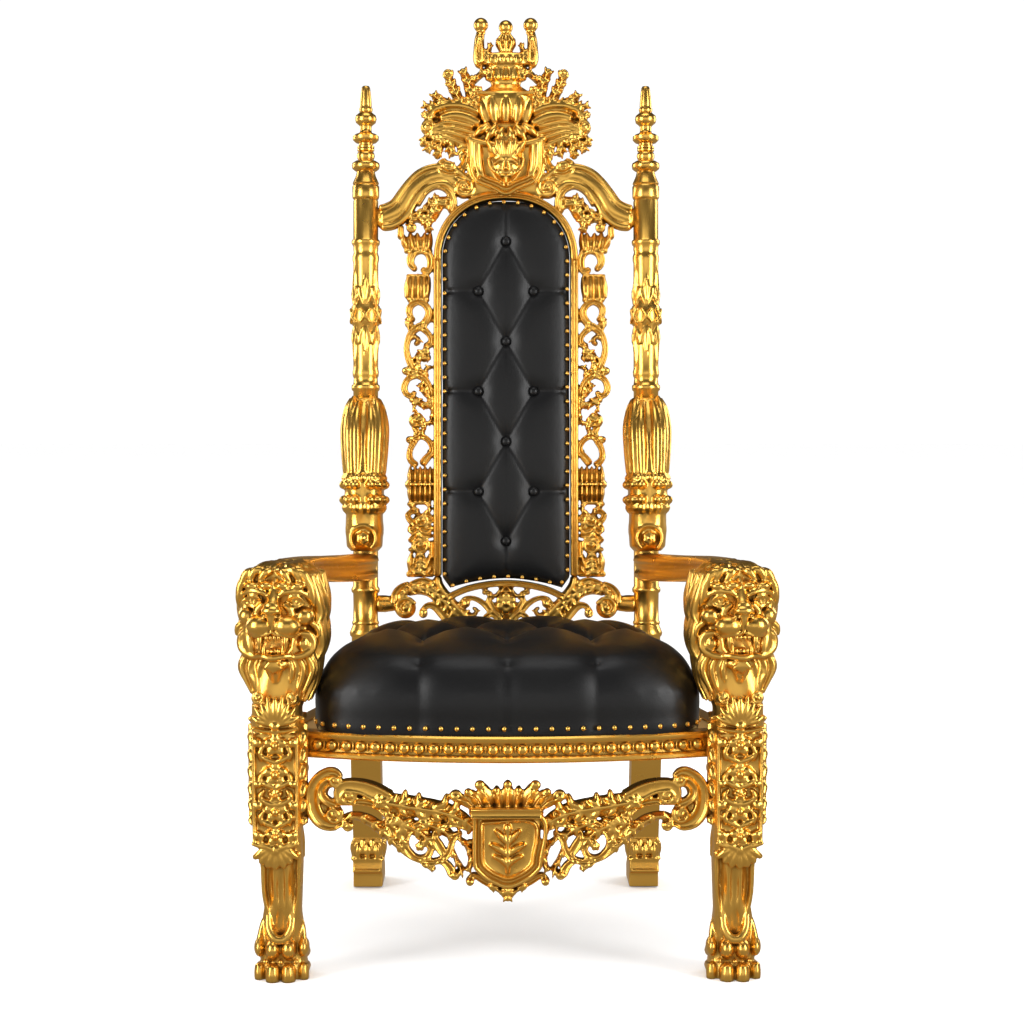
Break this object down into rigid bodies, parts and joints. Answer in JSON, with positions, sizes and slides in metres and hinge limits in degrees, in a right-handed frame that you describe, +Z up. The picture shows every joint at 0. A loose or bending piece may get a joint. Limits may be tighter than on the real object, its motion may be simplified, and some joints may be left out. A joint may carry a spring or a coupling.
{
  "type": "throne",
  "caption": "High-backed carved and gilded throne with lion-mask front legs, a crowned crest and tufted black upholstery.",
  "frame": {"origin": "on the floor, under the middle of the throne's overall box", "axes": "+Z up; the sitter faces -Y; +X is the sitter's left"},
  "size_m": [0.9344, 0.8099, 1.7663],
  "materials": {
    "gilded_frame": "polished gold leaf over carved wood",
    "black_leather": "smooth semi-gloss upholstery leather"
  },
  "bodies": {
    "root": {"front_leg_right": "gilded_frame", "front_leg_left": "gilded_frame", "rear_leg_right": "gilded_frame", "rear_leg_left": "gilded_frame", "arm_right": "gilded_frame", "arm_left": "gilded_frame", "seat_rail_front": "gilded_frame", "seat_rail_right": "gilded_frame", "seat_rail_left": "gilded_frame", "seat_rail_back": "gilded_frame", "front_apron": "gilded_frame", "rear_post_right": "gilded_frame", "rear_post_left": "gilded_frame", "back_crest": "gilded_frame", "back_stile_right": "gilded_frame", "back_stile_left": "gilded_frame", "back_bottom_rail": "gilded_frame", "back_pad": "black_leather", "seat_cushion": "black_leather", "back_button_1": "black_leather", "back_button_2": "black_leather", "back_button_3": "black_leather", "back_button_4": "black_leather", "back_button_5": "black_leather", "back_button_6": "black_leather", "back_button_7": "black_leather", "back_button_8": "black_leather", "back_button_9": "black_leather", "back_button_10": "black_leather", "seat_button_1": "black_leather", "seat_button_2": "black_leather", "seat_button_3": "black_leather", "seat_button_4": "black_leather", "seat_button_5": "black_leather", "seat_button_6": "black_leather", "seat_button_7": "black_leather", "seat_button_8": "black_leather", "seat_button_9": "black_leather", "seat_button_10": "black_leather"}
  },
  "joints": []
}
